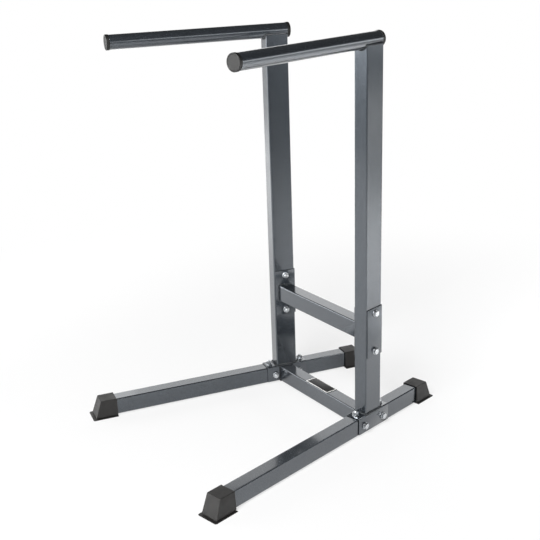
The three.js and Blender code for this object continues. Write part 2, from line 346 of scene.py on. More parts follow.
def addTone(tree, shader, paint, cloud, grain=None):
    shade = ranged(tree, cloud, 0, 1)
    tone = mixedColor(tree, shade, linear(paint["base"]), linear(paint["shade"]))
    if grain is not None:
        fleck = ranged(tree, grain, 0, paint["fleckShare"])
        tone = mixedColor(tree, fleck, tone, linear(paint["fleck"]))
    tree.links.new(tone, shader.inputs["Base Color"])


def addRoughness(tree, shader, paint, noise):
    tree.links.new(ranged(tree, noise, *paint["roughness"]), shader.inputs["Roughness"])


def addBump(tree, shader, paint, height, sockets=("Normal",)):
    bump = addNode(tree, "ShaderNodeBump", inputs={
        "Height": height, "Distance": paint["bumpDepth"], "Strength": paint["bumpStrength"],
    })
    for socket in sockets:
        tree.links.new(bump.outputs["Normal"], shader.inputs[socket])


def setSockets(shader, values):
    for key, value in values.items():
        shader.inputs[key].default_value = value


powder = {
    "base": "#3f454c", "shade": "#383e45", "fleck": "#686e74", "fleckShare": 0.5,
    "cloud": 24 * mm, "grain": 4.5 * mm, "roughness": (0.22, 0.28),
    "peel": 2.4 * mm, "bumpDepth": 0.009 * mm, "bumpStrength": 1.0, "metallic": 0.8, "ior": 1.5,
    "coat": 1.0, "coatRoughness": 0.09, "coatIor": 1.6,
}

# The bead's darker tones are painted shade for the seams where the tubes meet
bead = {
    **powder, "base": "#24282c", "shade": "#181b1e", "fleck": "#3c4146",
    "roughness": (0.35, 0.45), "coat": 0.6,
}


def powderCoatAnthracite(name="powderCoatAnthracite", paint=powder):
    # Metallic powder coat: dark binder with aluminium flake, which glints softly, under a
    # clear gloss top with a faint orange peel
    material, tree, shader, coordinates = startMaterial(name)
    cloud = noiseAt(tree, coordinates, paint["cloud"], detail=3)
    grain = noiseAt(tree, coordinates, paint["grain"], detail=4, roughness=0.7)
    peel = noiseAt(tree, coordinates, paint["peel"])
    addTone(tree, shader, paint, cloud, grain)
    addRoughness(tree, shader, paint, grain)
    addBump(tree, shader, paint, peel, ("Normal", "Coat Normal"))
    setSockets(shader, {
        "Metallic": paint["metallic"], "IOR": paint["ior"], "Coat Weight": paint["coat"],
        "Coat Roughness": paint["coatRoughness"], "Coat IOR": paint["coatIor"],
    })
    return material


def weldBeadPaintedShade():
    # The same powder coat over a welded bead, with less gloss; its base, shade and fleck tones
    # are darker as painted shade, for the shade in the seams where the tubes meet
    return powderCoatAnthracite("weldBeadPaintedShade", bead)


plastic = {
    "base": "#111110", "shade": "#0d0d0c", "cloud": 12 * mm, "grain": 1.2 * mm,
    "roughness": (0.42, 0.52), "bumpDepth": 0.03 * mm, "bumpStrength": 0.6, "ior": 1.5,
}


def blackMouldedPlastic():
    # Injection-moulded polyethylene with a fine eroded grain: half matt
    material, tree, shader, coordinates = startMaterial("blackMouldedPlastic")
    cloud = noiseAt(tree, coordinates, plastic["cloud"])
    grain = noiseAt(tree, coordinates, plastic["grain"], detail=3)
    addTone(tree, shader, plastic, cloud)
    addRoughness(tree, shader, plastic, grain)
    addBump(tree, shader, plastic, grain)
    setSockets(shader, {"Metallic": 0.0, "IOR": plastic["ior"]})
    return material


rubber = {
    "base": "#1b1a19", "shade": "#151413", "fleck": "#2a2826", "fleckShare": 0.35,
    "cloud": 25 * mm, "grain": 1.6 * mm, "roughness": (0.42, 0.56),
    "bumpDepth": 0.06 * mm, "bumpStrength": 0.7, "ior": 1.52,
}


def blackMouldedRubber():
    # Compression-moulded rubber: matt, faintly mottled, with a trace of mould release
    material, tree, shader, coordinates = startMaterial("blackMouldedRubber")
    cloud = noiseAt(tree, coordinates, rubber["cloud"], detail=4, roughness=0.6)
    grain = noiseAt(tree, coordinates, rubber["grain"], detail=3)
    addTone(tree, shader, rubber, cloud, grain)
    addRoughness(tree, shader, rubber, cloud)
    addBump(tree, shader, rubber, grain)
    setSockets(shader, {"Metallic": 0.0, "IOR": rubber["ior"]})
    return material


zinc = {
    "base": "#e2e4e6", "shade": "#c6cace", "cloud": 5 * mm, "scratch": 0.7 * mm,
    "roughness": (0.22, 0.34), "bumpDepth": 0.02 * mm, "bumpStrength": 0.5,
}


def brightZincPlate():
    # Electroplated zinc on rolled steel: silvery, slightly uneven where it was tumbled
    material, tree, shader, coordinates = startMaterial("brightZincPlate")
    cloud = noiseAt(tree, coordinates, zinc["cloud"], detail=3)
    scratch = noiseAt(tree, coordinates, zinc["scratch"])
    addTone(tree, shader, zinc, cloud)
    addRoughness(tree, shader, zinc, cloud)
    addBump(tree, shader, zinc, scratch)
    setSockets(shader, {"Metallic": 1.0})
    return material


powderCoat = powderCoatAnthracite()
# The weld beads' coat carries painted shade for the seams
beadCoatPaintedShade = weldBeadPaintedShade()
blackPlastic = blackMouldedPlastic()
blackRubber = blackMouldedRubber()
zincPlate = brightZincPlate()
print("materials made")


# Handles: round tubes with a plastic cap at each end.

handle = {"wall": 2 * mm, "edge": 0.3 * mm}


def laidAlong(end):
    # A lathed body stands on z: this lays it along the handle, its top towards that end
    return Matrix.Rotation(math.pi / 2 if end == "front" else -math.pi / 2, 4, "X")


def addHandle(side):
    place = handlePlace(side)
    low, high = localBox(f"{side}_handle_tube", place)
    outer = high.z
    inner = outer - handle["wall"]
    edge = handle["edge"]
    profile = filleted([
        (outer, low.y, edge), (outer, high.y, edge), (inner, high.y, edge), (inner, low.y, edge),
    ])
    mesh = finished(lathed(profile, closed=True), place @ laidAlong("rear"))
    addPiece(f"{side}_handle", mesh, [f"{side}_handle_tube"], powderCoat)


cap = {
    "rim": 1.6 * mm, "seam": 0.5 * mm, "dish": 0.8 * mm, "dishMargin": 3.2 * mm,
    "dishSlope": 1.6 * mm, "dishFoot": 0.6 * mm, "dishLip": 0.4 * mm,
    "plugWall": 3 * mm, "plugEdge": 0.5 * mm, "gap": 0.3 * mm,
}


def capProfile(head, radius, plugRadius, plugDepth):
    face = radius - cap["dishMargin"]
    dished = head - cap["dish"]
    bore = plugRadius - cap["plugWall"]
    seat = cap["gap"]
    return filleted([
        (0, dished, 0),
        (face - cap["dishSlope"], dished, cap["dishFoot"]),
        (face, head, cap["dishLip"]),
        (radius, head, cap["rim"]),
        (radius, seat, cap["seam"]),
        (plugRadius, seat, 0),
        (plugRadius, -plugDepth, cap["plugEdge"]),
        (bore, -plugDepth, cap["plugEdge"]),
        (bore, seat, 0),
        (0, seat, 0),
    ], closed=False)


def addCap(side, end):
    place = handlePlace(side)
    tubeLow, tubeHigh = localBox(f"{side}_handle_tube", place)
    low, high = localBox(f"{side}_{end}_cap", place)
    if end == "front":
        mouth = tubeLow.y
        head, depth = mouth - low.y, high.y - mouth
    else:
        mouth = tubeHigh.y
        head, depth = high.y - mouth, mouth - low.y
    plugRadius = tubeHigh.z - handle["wall"] - cap["gap"]
    profile = capProfile(head, high.z, plugRadius, depth)
    stand = place @ Matrix.Translation((0, mouth, 0)) @ laidAlong(end)
    mesh = finished(lathed(profile, closed=False), stand)
    name = f"{side}_{end}_end_cap"
    addPiece(name, mesh, [f"{side}_{end}_cap"], blackPlastic)


for side in sides:
    addHandle(side)
    for end in ends:
        addCap(side, end)
print("handles and caps made")


# Uprights and legs: rectangular tubes with rounded corners.

tube = {"wall": 2 * mm, "corner": 4 * mm, "saddleStep": 1.5 * mm, "saddleGap": 0.3 * mm}


def tubeLoops(width, height, step=None):
    wall = tube["wall"]
    outer = rectangle(width, height, tube["corner"])
    inner = rectangle(width - 2 * wall, height - 2 * wall, tube["corner"] - wall)
    return matchedDenser(outer, inner, step) if step else (outer, inner)


def saddleOf(side, top):
    # Gives the height of the upright's rim under the round handle for a point of its section
    axis = boxCentre(f"{side}_handle_tube").z
    radius = localBox(f"{side}_handle_tube", handlePlace(side))[1].z + tube["saddleGap"]
    turn = handleTurn(side)

    def heightAt(x, y):
        across = x * math.cos(turn) + y * math.sin(turn)
        if abs(across) >= radius:
            return top
        return min(top, axis - math.sqrt(radius * radius - across * across))

    return heightAt


def addUpright(side):
    place = sidePlace(side)
    low, high = localBox(f"{side}_upright", place)
    outer, inner = tubeLoops(high.x - low.x, high.y - low.y, tube["saddleStep"])
    bar = hollowBar(
        outer, inner, lambda u, v: low.z, saddleOf(side, high.z), lambda u, v, t: (u, v, t),
    )
    mesh = finished(bar, place)
    addPiece(f"{side}_upright_tube", mesh, [f"{side}_upright"], powderCoat)


def addLeg(side, end):
    place = sidePlace(side)
    low, high = localBox(f"{side}_{end}_leg", place)
    middle = (low.z + high.z) / 2
    outer, inner = tubeLoops(high.x - low.x, high.z - low.z)
    bar = hollowBar(
        outer, inner, lambda u, v: low.y, lambda u, v: high.y, lambda u, v, t: (u, t, v + middle),
    )
    mesh = finished(bar, place)
    addPiece(f"{side}_{end}_leg_tube", mesh, [f"{side}_{end}_leg"], powderCoat)


for side in sides:
    addUpright(side)
    for end in ends:
        addLeg(side, end)
print("uprights and legs made")


# Folded plates: the sleeve over each leg and the bracket round each upright.

plate = {"thickness": 1.7 * mm, "bend": 5 * mm, "edge": 0.3 * mm}


def channelOutline(halfWidth, depth):
    # Closed side up at v = 0, skirts hanging down
    thickness = plate["thickness"]
    bend = plate["bend"]
    inner = halfWidth - thickness
    return filleted([
        (halfWidth, -depth, 0), (halfWidth, 0, bend), (-halfWidth, 0, bend),
        (-halfWidth, -depth, 0), (-inner, -depth, 0), (-inner, -thickness, bend - thickness),
        (inner, -thickness, bend - thickness), (inner, -depth, 0),
    ])


def addSleeve(side):
    place = sidePlace(side)
    low, high = localBox(f"{side}_leg_sleeve", place)
    outline = channelOutline(high.x, high.z - low.z)
    channel = extruded(outline, lambda u, v, t: (u, t, high.z + v), low.y, high.y)
    mesh = softEdges(finished(channel, place), plate["edge"])
    addPiece(f"{side}_sleeve_plate", mesh, [f"{side}_leg_sleeve"], powderCoat)


def addBracket(side):
    place = sidePlace(side)
    low, high = localBox(f"{side}_brace_bracket", place)
    outline = channelOutline(high.x, high.y - low.y)
    channel = extruded(outline, lambda u, v, t: (u, high.y + v, t), low.z, high.z)
    mesh = softEdges(finished(channel, place), plate["edge"])
    addPiece(f"{side}_bracket_plate", mesh, [f"{side}_brace_bracket"], powderCoat)


for side in sides:
    addSleeve(side)
    addBracket(side)
print("sleeves and brackets made")


# Cross members: two tubes along x, cut to the splay of the side frames.


def barEnd(node, y):
    # Half the bar's length at this depth: its front corner is where the box is widest
    low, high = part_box(node)
    return high.x - (y - low.y) * math.tan(splay["frame"])


def addBar(name, node):
    low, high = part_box(node)
    middleY = (low.y + high.y) / 2
    middleZ = (low.z + high.z) / 2
    outer, inner = tubeLoops(high.y - low.y, high.z - low.z)
    bar = hollowBar(
        outer, inner,
        lambda u, v: -barEnd(node, middleY + u),
        lambda u, v: barEnd(node, middleY + u),
        lambda u, v, t: (t, middleY + u, middleZ + v),
    )
    addPiece(name, finished(bar), [node], powderCoat)


addBar("mid_brace_tube", "mid_brace")
addBar("base_crossbar_tube", "base_crossbar")
print("cross members made")


# Feet: rubber boots, open towards the leg, on a thin spread sole.

foot = {
    "wall": 5 * mm, "sole": 2.5 * mm, "soleCorner": 6 * mm, "soleEdge": 0.6 * mm,
    "groove": 2 * mm, "grooveHeight": 2.8 * mm, "grooveEdge": 0.3 * mm,
    "toeSetback": 9 * mm, "flare": 4 * mm, "corner": 2.5 * mm, "topEdge": 2.2 * mm,
    "topSteps": 5, "mouthEdge": 0.8 * mm, "mouthChamfer": 0.5 * mm, "pocketGap": 0.3 * mm,
    "relief": 2 * mm, "reliefDepth": 9 * mm, "sharpAngle": 28,
}


def footOutline(halfWidth, toe, inset, corner):
    mouthEdge = foot["mouthEdge"]
    mouth = min(inset, mouthEdge)
    return filleted([
        (halfWidth - inset, toe - inset, corner), (inset - halfWidth, toe - inset, corner),
        (inset - halfWidth, mouth, mouthEdge), (halfWidth - inset, mouth, mouthEdge),
    ])


def footLevels(baseWidth, baseLength, height, legWidth, insertion):
    topToe = insertion + foot["pocketGap"] + foot["wall"]
    levels = []

    def soleLevel(z, inset):
        levels.append((z, footOutline(baseWidth / 2, baseLength, inset, foot["soleCorner"])))

    def bodyLevel(z, inset):
        share = z / height
        halfWidth = legWidth / 2 + foot["wall"] + foot["flare"] * (1 - share)
        toe = (baseLength - foot["toeSetback"]) * (1 - share) + topToe * share
        levels.append((z, footOutline(halfWidth, toe, inset, foot["corner"])))

    sole = foot["sole"]
    edge = foot["soleEdge"]
    soleLevel(0, edge)
    soleLevel(edge, 0)
    soleLevel(sole - edge, 0)
    soleLevel(sole, edge)
    grooveTop = sole + foot["grooveHeight"]
    bodyLevel(sole, foot["groove"])
    bodyLevel(grooveTop, foot["groove"])
    bodyLevel(grooveTop, foot["grooveEdge"])
    bodyLevel(grooveTop + foot["grooveEdge"], 0)
    radius = foot["topEdge"]
    shoulder = height - radius
    bodyLevel(shoulder - shaping["support"], 0)
    for step in range(foot["topSteps"] + 1):
        angle = math.pi / 2 * step / foot["topSteps"]
        bodyLevel(shoulder + radius * math.sin(angle), radius * (1 - math.cos(angle)))
    bodyLevel(height, radius + shaping["support"])
    return levels


def footPocket(legWidth, legHeight, legMiddle, insertion, point):
    # The leg's own section with play, wider near the mouth
    chamfer = foot["mouthChamfer"]
    relief = foot["relief"]
    gap = foot["pocketGap"]
    deep = foot["reliefDepth"]
    steps = (
        (-chamfer, relief + 2 * chamfer), (chamfer, relief), (deep, relief),
        (deep + relief, 0), (insertion + gap, 0),
    )
    levels = []
    for reach, more in steps:
        grow = gap + more
        outline = rectangle(legWidth + 2 * grow, legHeight + 2 * grow, tube["corner"] + grow)
        levels.append((reach, outline))
    return lofted(levels, lambda u, v, t: point(u, t, legMiddle + v))


def carved(mesh, cutterMesh):
    cutter = linked("cutter", cutterMesh)
    result = withModifier(mesh, "BOOLEAN", {
        "operation": "DIFFERENCE", "solver": "EXACT", "object": cutter,
    })
    bpy.data.objects.remove(cutter)
    return result


def addFoot(side, end):
    place = sidePlace(side)
    low, high = localBox(f"{side}_{end}_foot", place)
    legLow, legHigh = localBox(f"{side}_{end}_leg", place)
    towards = -1 if end == "front" else 1
    mouth = high.y if end == "front" else low.y
    insertion = mouth - legLow.y if end == "front" else legHigh.y - mouth
    legWidth = legHigh.x - legLow.x
    legHeight = legHigh.z - legLow.z
    legMiddle = (legHigh.z + legLow.z) / 2

    def point(u, v, t):
        return (u, mouth + towards * v, t)

    levels = footLevels(high.x - low.x, high.y - low.y, high.z, legWidth, insertion)
    solid = finished(lofted(levels, point))
    pocket = finished(footPocket(legWidth, legHeight, legMiddle, insertion, point))
    mesh = carved(solid, pocket)
    mesh.transform(place)
    addPiece(f"{side}_{end}_boot", mesh, [f"{side}_{end}_foot"], blackRubber,
             foot["sharpAngle"])


for side in sides:
    for end in ends:
        addFoot(side, end)
print("feet made")


# Label plate: a thin black plate, bare but for a light border line.

label = {
    "corner": 2 * mm, "edge": 0.3 * mm, "softAngle": 60, "base": "#0e0e0e", "line": "#f6f6f4",
    "lineInset": 2.3 * mm, "lineWidth": 3.8 * mm, "grain": 6 * mm, "roughness": (0.34, 0.42),
    "ior": 1.5,
}


def printedLabelPlate(centre, width, depth):
    # Gloss-printed aluminium: black ink with one light line along the border
    material, tree, shader, coordinates = startMaterial("printedLabelPlate")
    inner = label["corner"]
    half = (width / 2 - inner, depth / 2 - inner, 1)  # the 1 m leaves the thickness out
    local = vectorMath(tree, "SUBTRACT", coordinates, tuple(centre))["Vector"]
    mirrored = vectorMath(tree, "ABSOLUTE", local)["Vector"]
    beyond = vectorMath(tree, "SUBTRACT", mirrored, half)["Vector"]
    outside = vectorMath(tree, "MAXIMUM", beyond, (0, 0, 0))["Vector"]
    corner = vectorMath(tree, "LENGTH", outside)["Value"]
    parts = addNode(tree, "ShaderNodeSeparateXYZ", inputs={0: beyond}).outputs
    inside = mathNode(tree, "MINIMUM", mathNode(tree, "MAXIMUM", parts["X"], parts["Y"]), 0)
    distance = mathNode(tree, "ADD", corner, inside)
    fromLine = mathNode(tree, "ADD", distance, label["lineInset"] - inner)
    toLine = mathNode(tree, "ABSOLUTE", fromLine)
    onLine = mathNode(tree, "LESS_THAN", toLine, label["lineWidth"] / 2)
    tone = mixedColor(tree, onLine, linear(label["base"]), linear(label["line"]))
    tree.links.new(tone, shader.inputs["Base Color"])
    addRoughness(tree, shader, label, noiseAt(tree, coordinates, label["grain"]))
    setSockets(shader, {"Metallic": 0.0, "IOR": label["ior"]})
    return material


def addLabelPlate():
    low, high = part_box("label_plate")
    centre = (low + high) / 2
    width = high.x - low.x
    depth = high.y - low.y
    outline = rectangle(width, depth, label["corner"])
    solid = extruded(outline, lambda u, v, t: (centre.x + u, centre.y + v, t), low.z, high.z)
    mesh = softEdges(finished(solid), label["edge"], label["softAngle"])
    material = printedLabelPlate(centre, width, depth)
    addPiece("label_face", mesh, ["label_plate"], material)


addLabelPlate()
print("label plate made")


# Geometry Nodes: small trees that repeat a fastener or run a bead along a seam.


def startTree(name, sockets):
    tree = bpy.data.node_groups.new(name, "GeometryNodeTree")
    tree.interface.new_socket(name="Geometry", in_out="INPUT", socket_type="NodeSocketGeometry")
    for socketName, kind in sockets.items():
        tree.interface.new_socket(name=socketName, in_out="INPUT", socket_type=kind)
    tree.interface.new_socket(name="Geometry", in_out="OUTPUT", socket_type="NodeSocketGeometry")
    source = tree.nodes.new("NodeGroupInput").outputs
    return tree, source


def endTree(tree, geometry, material):
    real = addNode(tree, "GeometryNodeRealizeInstances", inputs={"Geometry": geometry})
    painted = addNode(tree, "GeometryNodeSetMaterial", inputs={
        "Geometry": real.outputs["Geometry"], "Material": material,
    })
    addNode(tree, "NodeGroupOutput", inputs={"Geometry": painted.outputs["Geometry"]})
    return tree


def grown(mesh, tree, values):
    carrier = linked("carrier", mesh)
    modifier = carrier.modifiers.new("grow", "NODES")
    modifier.node_group = tree
    for item in tree.interface.items_tree:
        if item.in_out == "INPUT" and item.name in values:
            modifier[item.identifier] = values[item.name]
    return bakedMesh(carrier)


# Fasteners: hexagon bolts across the frames, domed bolts up through the sleeves.

fastener = {
    "flats": 19 * mm, "headHeight": 7.5 * mm, "nutHeight": 8 * mm, "flangeRadius": 10.9 * mm,
    "shank": 6 * mm, "bore": 6.3 * mm, "countersink": 0.7 * mm, "washerEdge": 0.4 * mm,
    "crownShare": 0.95, "crownSlope": math.tan(math.radians(30)), "faceShare": 0.5,
    "pitch": 1.75 * mm, "threadDepth": 0.9 * mm, "threadLength": 16 * mm, "ringsPerPitch": 6,
    "tipInset": 1.44 * mm, "segments": 48, "sharpAngle": 30, "mostTurn": math.radians(360),
    "seeds": {"bolt": 3, "washer": 5, "nut": 7},  # of each kind's random turns
}
crownRadius = fastener["crownShare"] * fastener["flats"] / 2


def polarBody(rings, closed):
    # Each ring gives radius and height as functions of the angle
    count = fastener["segments"]
    bm = bmesh.new()
    made = []
    for radiusAt, heightAt in rings:
        ring = []
        for step in range(count):
            angle = 2 * math.pi * step / count
            radius = radiusAt(angle)
            ring.append(bm.verts.new((
                radius * math.cos(angle), radius * math.sin(angle), heightAt(angle),
            )))
        made.append(ring)
    for first, second in zip(made, made[1:]):
        bridged(bm, first, second)
    if closed:
        bridged(bm, made[-1], made[0])
    else:
        bm.faces.new(made[0])
        bm.faces.new(made[-1])
    return finished(bm)


def level(radius, height):
    return lambda angle: radius, lambda angle: height


def hexRadius(angle):
    sector = (angle + math.pi / 6) % (math.pi / 3) - math.pi / 6
    return fastener["flats"] / 2 / math.cos(sector)


def hexLevel(height, towards=0):
    # Level at the flats; the corners are chamfered up (1) or down (-1) from there
    slope = towards * fastener["crownSlope"]
    return hexRadius, lambda angle: height + slope * (hexRadius(angle) - crownRadius)


def threadRings(end, towards):
    # Rings from inside the nut out to the bolt's end, towards +1 or -1
    length = fastener["threadLength"]
    steps = math.ceil(length / (fastener["pitch"] / fastener["ringsPerPitch"]))
    rings = []
    for step in range(steps + 1):
        height = end - towards * length * (1 - step / steps)
        rings.append((threadRadius(height), lambda angle, height=height: height))
    return rings


def threadRadius(height):
    def radiusAt(angle):
        wave = 0.5 + 0.5 * math.cos(2 * math.pi * height / fastener["pitch"] - angle)
        return fastener["shank"] - fastener["threadDepth"] * wave
    return radiusAt


def hexBolt(length):
    height = fastener["headHeight"]
    shank = fastener["shank"]
    pitch = fastener["pitch"]
    rings = [
        level(crownRadius * fastener["faceShare"], height), level(crownRadius, height),
        hexLevel(height, -1), hexLevel(0),
        level(shank, 0), level(shank, fastener["threadLength"] - length + pitch),
    ]
    rings += threadRings(pitch - length, -1)
    rings += [level(shank - fastener["tipInset"], -length)]
    return polarBody(rings, closed=False)


dome = {"height": 3 * mm, "steps": 8, "seeds": {"bolt": 11, "washer": 13, "nut": 17}}


def domeBolt(radius, length):
    shank = fastener["shank"]
    pitch = fastener["pitch"]
    rings = []
    for step in range(1, dome["steps"] + 1):
        angle = math.pi / 2 * step / dome["steps"]
        rings.append(level(radius * math.sin(angle), -dome["height"] * math.cos(angle)))
    rings += [level(shank, 0), level(shank, length - fastener["threadLength"] - pitch)]
    rings += threadRings(length - pitch, 1)
    rings += [level(shank - fastener["tipInset"], length)]
    return polarBody(rings, closed=False)


def hexNut(height, flange):
    # With a flange, the nut stands on a plain washer that came with it
    bore = fastener["bore"]
    sink = fastener["countersink"]
    wide = fastener["flangeRadius"]
    edge = fastener["washerEdge"]
    if flange:
        rings = [
            level(bore, 0), level(wide - edge, 0), level(wide, edge),
            level(wide, flange - edge), level(wide - edge, flange),
        ]
    else:
        rings = [level(bore, sink), level(bore + sink, 0)]
    rings += [
        level(crownRadius, flange), hexLevel(flange, 1), hexLevel(height, -1),
        level(crownRadius, height), level(bore + sink, height), level(bore, height - sink),
    ]
    return polarBody(rings, closed=True)


def washerShape(radius, height):
    edge = fastener["washerEdge"]
    bore = fastener["bore"]
    return polarBody([
        level(bore, edge / 2), level(bore + edge / 2, 0),
        level(radius - edge, 0), level(radius, edge),
        level(radius, height - edge), level(radius - edge, height),
        level(bore + edge / 2, height), level(bore, height - edge / 2),
    ], closed=True)


def fastenerTree():
    tree, source = startTree("fastenersAtPoints", {
        "Shape": "NodeSocketObject", "Most turn": "NodeSocketFloat", "Turn seed": "NodeSocketInt",
    })
    shape = addNode(tree, "GeometryNodeObjectInfo", {"transform_space": "ORIGINAL"},
                    {"Object": source["Shape"]})
    aim = addNode(tree, "GeometryNodeInputNamedAttribute", {"data_type": "FLOAT_VECTOR"},
                  {"Name": "aim"})
    rotation = addNode(tree, "FunctionNodeEulerToRotation", inputs={
        "Euler": aim.outputs["Attribute"],
    })
    spin = addNode(tree, "FunctionNodeRandomValue", {"data_type": "FLOAT"})
    tree.links.new(source["Most turn"], enabledInput(spin, "Max"))
    tree.links.new(source["Turn seed"], enabledInput(spin, "Seed"))
    spinOutput = next(s for s in spin.outputs if s.enabled)
    about = addNode(tree, "ShaderNodeCombineXYZ", inputs={"Z": spinOutput})
    spinRotation = addNode(tree, "FunctionNodeEulerToRotation", inputs={
        "Euler": about.outputs["Vector"],
    })
    turned = addNode(tree, "FunctionNodeRotateRotation", {"rotation_space": "LOCAL"}, {
        "Rotation": rotation.outputs["Rotation"], "Rotate By": spinRotation.outputs["Rotation"],
    })
    placed = addNode(tree, "GeometryNodeInstanceOnPoints", inputs={
        "Points": source["Geometry"], "Instance": shape.outputs["Geometry"],
        "Rotation": turned.outputs["Rotation"],
    })
    return endTree(tree, placed.outputs["Instances"], zincPlate)


def enabledInput(node, name):
    return next(s for s in node.inputs if s.enabled and s.name == name)


def placements(places):
    mesh = bpy.data.meshes.new("places")
    mesh.from_pydata([place.translation for place in places], [], [])
    aim = mesh.attributes.new("aim", "FLOAT_VECTOR", "POINT")
    for index, place in enumerate(places):
        aim.data[index].vector = place.to_euler()
    return mesh


def addFasteners(name, shapeMesh, places, nodes, seed):
    shape = linked("shape", shapeMesh)
    mesh = grown(placements(places), fasteners, {
        "Shape": shape, "Most turn": fastener["mostTurn"], "Turn seed": seed,
    })
    bpy.data.objects.remove(shape)
    addPiece(name, mesh, nodes, zincPlate, fastener["sharpAngle"])


# A fastener's node is known by its side, its group and its spot in the group


def nodeName(stem, kind):
    side, group, spot = stem
    return f"{side}_{group}_{kind}_{spot}"


def sizeOf(stem, kind):
    low, high = localBox(nodeName(stem, kind), sidePlace(stem[0]))
    return high - low


def crossPlace(stem, kind):
    # Seat of a piece whose own z points outwards, or inwards for the nuts
    side = stem[0]
    place = sidePlace(side)
    low, high = localBox(nodeName(stem, kind), place)
    middle = (low + high) / 2
    towards = -outwardOf(side) if kind == "nut" else outwardOf(side)
    seat = low.x if towards > 0 else high.x
    turn = Matrix.Rotation(towards * math.pi / 2, 4, "Y")
    return place @ Matrix.Translation((seat, middle.y, middle.z)) @ turn


def topPlace(stem, kind):
    place = sidePlace(stem[0])
    low, high = localBox(nodeName(stem, kind), place)
    middle = (low + high) / 2
    return place @ Matrix.Translation((middle.x, middle.y, low.z))


def crossShapes(bolt, washer, nut):
    length = bolt.x - fastener["headHeight"]
    return length, {
        "bolt": hexBolt(length),
        "washer": washerShape(washer.z / 2, washer.x),
        "nut": hexNut(nut.x, nut.x - fastener["nutHeight"]),
    }


def topShapes(bolt, washer, nut):
    height = dome["height"]
    return height, {
        "bolt": domeBolt(bolt.y / 2, bolt.z - height),
        "washer": washerShape(washer.y / 2, washer.z),
        "nut": hexNut(nut.z, 0),
    }


def addGroup(group, spots, placeOf, shapesOf, seeds):
    # A bolt's own origin is under its head, so it's lifted there from its seat
    stems = [(side, group, spot) for side in sides for spot in spots]
    lift, shapes = shapesOf(*(sizeOf(stems[-1], kind) for kind in seeds))
    for kind, seed in seeds.items():
        raised = Matrix.Translation((0, 0, lift if kind == "bolt" else 0))
        places = [placeOf(stem, kind) @ raised for stem in stems]
        nodes = [nodeName(stem, kind) for stem in stems]
        addFasteners(f"{group}_{kind}s", shapes[kind], places, nodes, seed)


fasteners = fastenerTree()
addGroup("brace", ("lower", "upper"), crossPlace, crossShapes, fastener["seeds"])
addGroup("side", ends, crossPlace, crossShapes, fastener["seeds"])
addGroup("top", ends, topPlace, topShapes, dome["seeds"])
print("fasteners made")


# Weld beads: rippled seams where the tubes meet.

weld = {
    "bead": 6.5 * mm, "pitch": 4.6 * mm, "ripple": 0.3, "unevenness": 0.5, "patch": 9 * mm,
    "step": 1.1 * mm, "rise": 0.8 * mm, "inward": 3 * mm, "profilePoints": 10,
    "sharpAngle": 180,
}

# Each seam's share of the bead's width, and the seed of its unevenness
seams = {
    "saddle": {"size": 1.1, "seed": 1.3},
    "base": {"size": 1.0, "seed": 4.7},
    "brace": {"size": 0.8, "seed": 8.1},
    "crossbar": {"size": 0.65, "seed": 12.9},
}


def weldTree():
    tree, source = startTree("beadAlongSeam", dict.fromkeys((
        "Bead width", "Ripple pitch", "Ripple depth", "Unevenness", "Patch size", "Step", "Seed",
    ), "NodeSocketFloat"))
    curve = addNode(tree, "GeometryNodeMeshToCurve", inputs={"Mesh": source["Geometry"]})
    even = addNode(tree, "GeometryNodeResampleCurve", {"mode": "LENGTH"}, {
        "Curve": curve.outputs["Curve"], "Length": source["Step"],
    })
    along = addNode(tree, "GeometryNodeSplineParameter").outputs["Length"]
    phase = mathNode(tree, "DIVIDE", along, source["Ripple pitch"])
    wave = mathNode(tree, "SINE", mathNode(tree, "MULTIPLY", phase, 2 * math.pi))
    ripple = mathNode(tree, "MULTIPLY", wave, source["Ripple depth"])
    scale = mathNode(tree, "DIVIDE", 1.0, source["Patch size"])
    patches = addNode(tree, "ShaderNodeTexNoise", {"noise_dimensions": "4D"}, {
        "W": source["Seed"], "Scale": scale, "Detail": 1.0,
    })
    offset = mathNode(tree, "SUBTRACT", patches.outputs["Fac"], 0.5)
    reach = mathNode(tree, "MULTIPLY", source["Unevenness"], 2.0)
    uneven = mathNode(tree, "MULTIPLY", offset, reach)
    share = mathNode(tree, "ADD", mathNode(tree, "ADD", ripple, uneven), 1.0)
    half = mathNode(tree, "MULTIPLY", source["Bead width"], 0.5)
    radius = mathNode(tree, "MULTIPLY", share, half)
    profile = addNode(tree, "GeometryNodeCurvePrimitiveCircle", inputs={
        "Resolution": weld["profilePoints"], "Radius": 1.0,
    })
    swept = addNode(tree, "GeometryNodeCurveToMesh", inputs={
        "Curve": even.outputs["Curve"], "Profile Curve": profile.outputs["Curve"],
        "Scale": radius,
    })
    return endTree(tree, swept.outputs["Mesh"], beadCoatPaintedShade)


def seamMesh(points):
    mesh = bpy.data.meshes.new("seam")
    count = len(points)
    mesh.from_pydata(points, [(index, (index + 1) % count) for index in range(count)], [])
    return mesh


def addWeld(side, seam, points):
    mesh = grown(seamMesh(points), weldSeam, {
        "Bead width": weld["bead"] * seams[seam]["size"], "Ripple pitch": weld["pitch"],
        "Ripple depth": weld["ripple"], "Unevenness": weld["unevenness"],
        "Patch size": weld["patch"], "Step": weld["step"],
        "Seed": seams[seam]["seed"] + sides.index(side),
    })
    addPiece(f"{side}_{seam}_weld", mesh, [], beadCoatPaintedShade, weld["sharpAngle"])


def saddleSeam(side):
    # Sunk behind the rim along the sides, so only its front and rear show
    place = sidePlace(side)
    low, high = localBox(f"{side}_upright", place)
    width = high.x - low.x - 2 * weld["inward"]
    depth = high.y - low.y + weld["rise"]
    outline = rectangle(width, depth, tube["corner"])
    loop, _ = matchedDenser(outline, outline, tube["saddleStep"])
    saddle = saddleOf(side, high.z)
    return [place @ Vector((x, y, saddle(x, y) + weld["rise"])) for x, y in loop]


def baseSeam(side):
    place = sidePlace(side)
    low, high = localBox(f"{side}_upright", place)
    grow = 2 * weld["rise"]
    loop = rectangle(high.x - low.x + grow, high.y - low.y + grow, tube["corner"])
    return [place @ Vector((x, y, low.z + weld["rise"])) for x, y in loop]


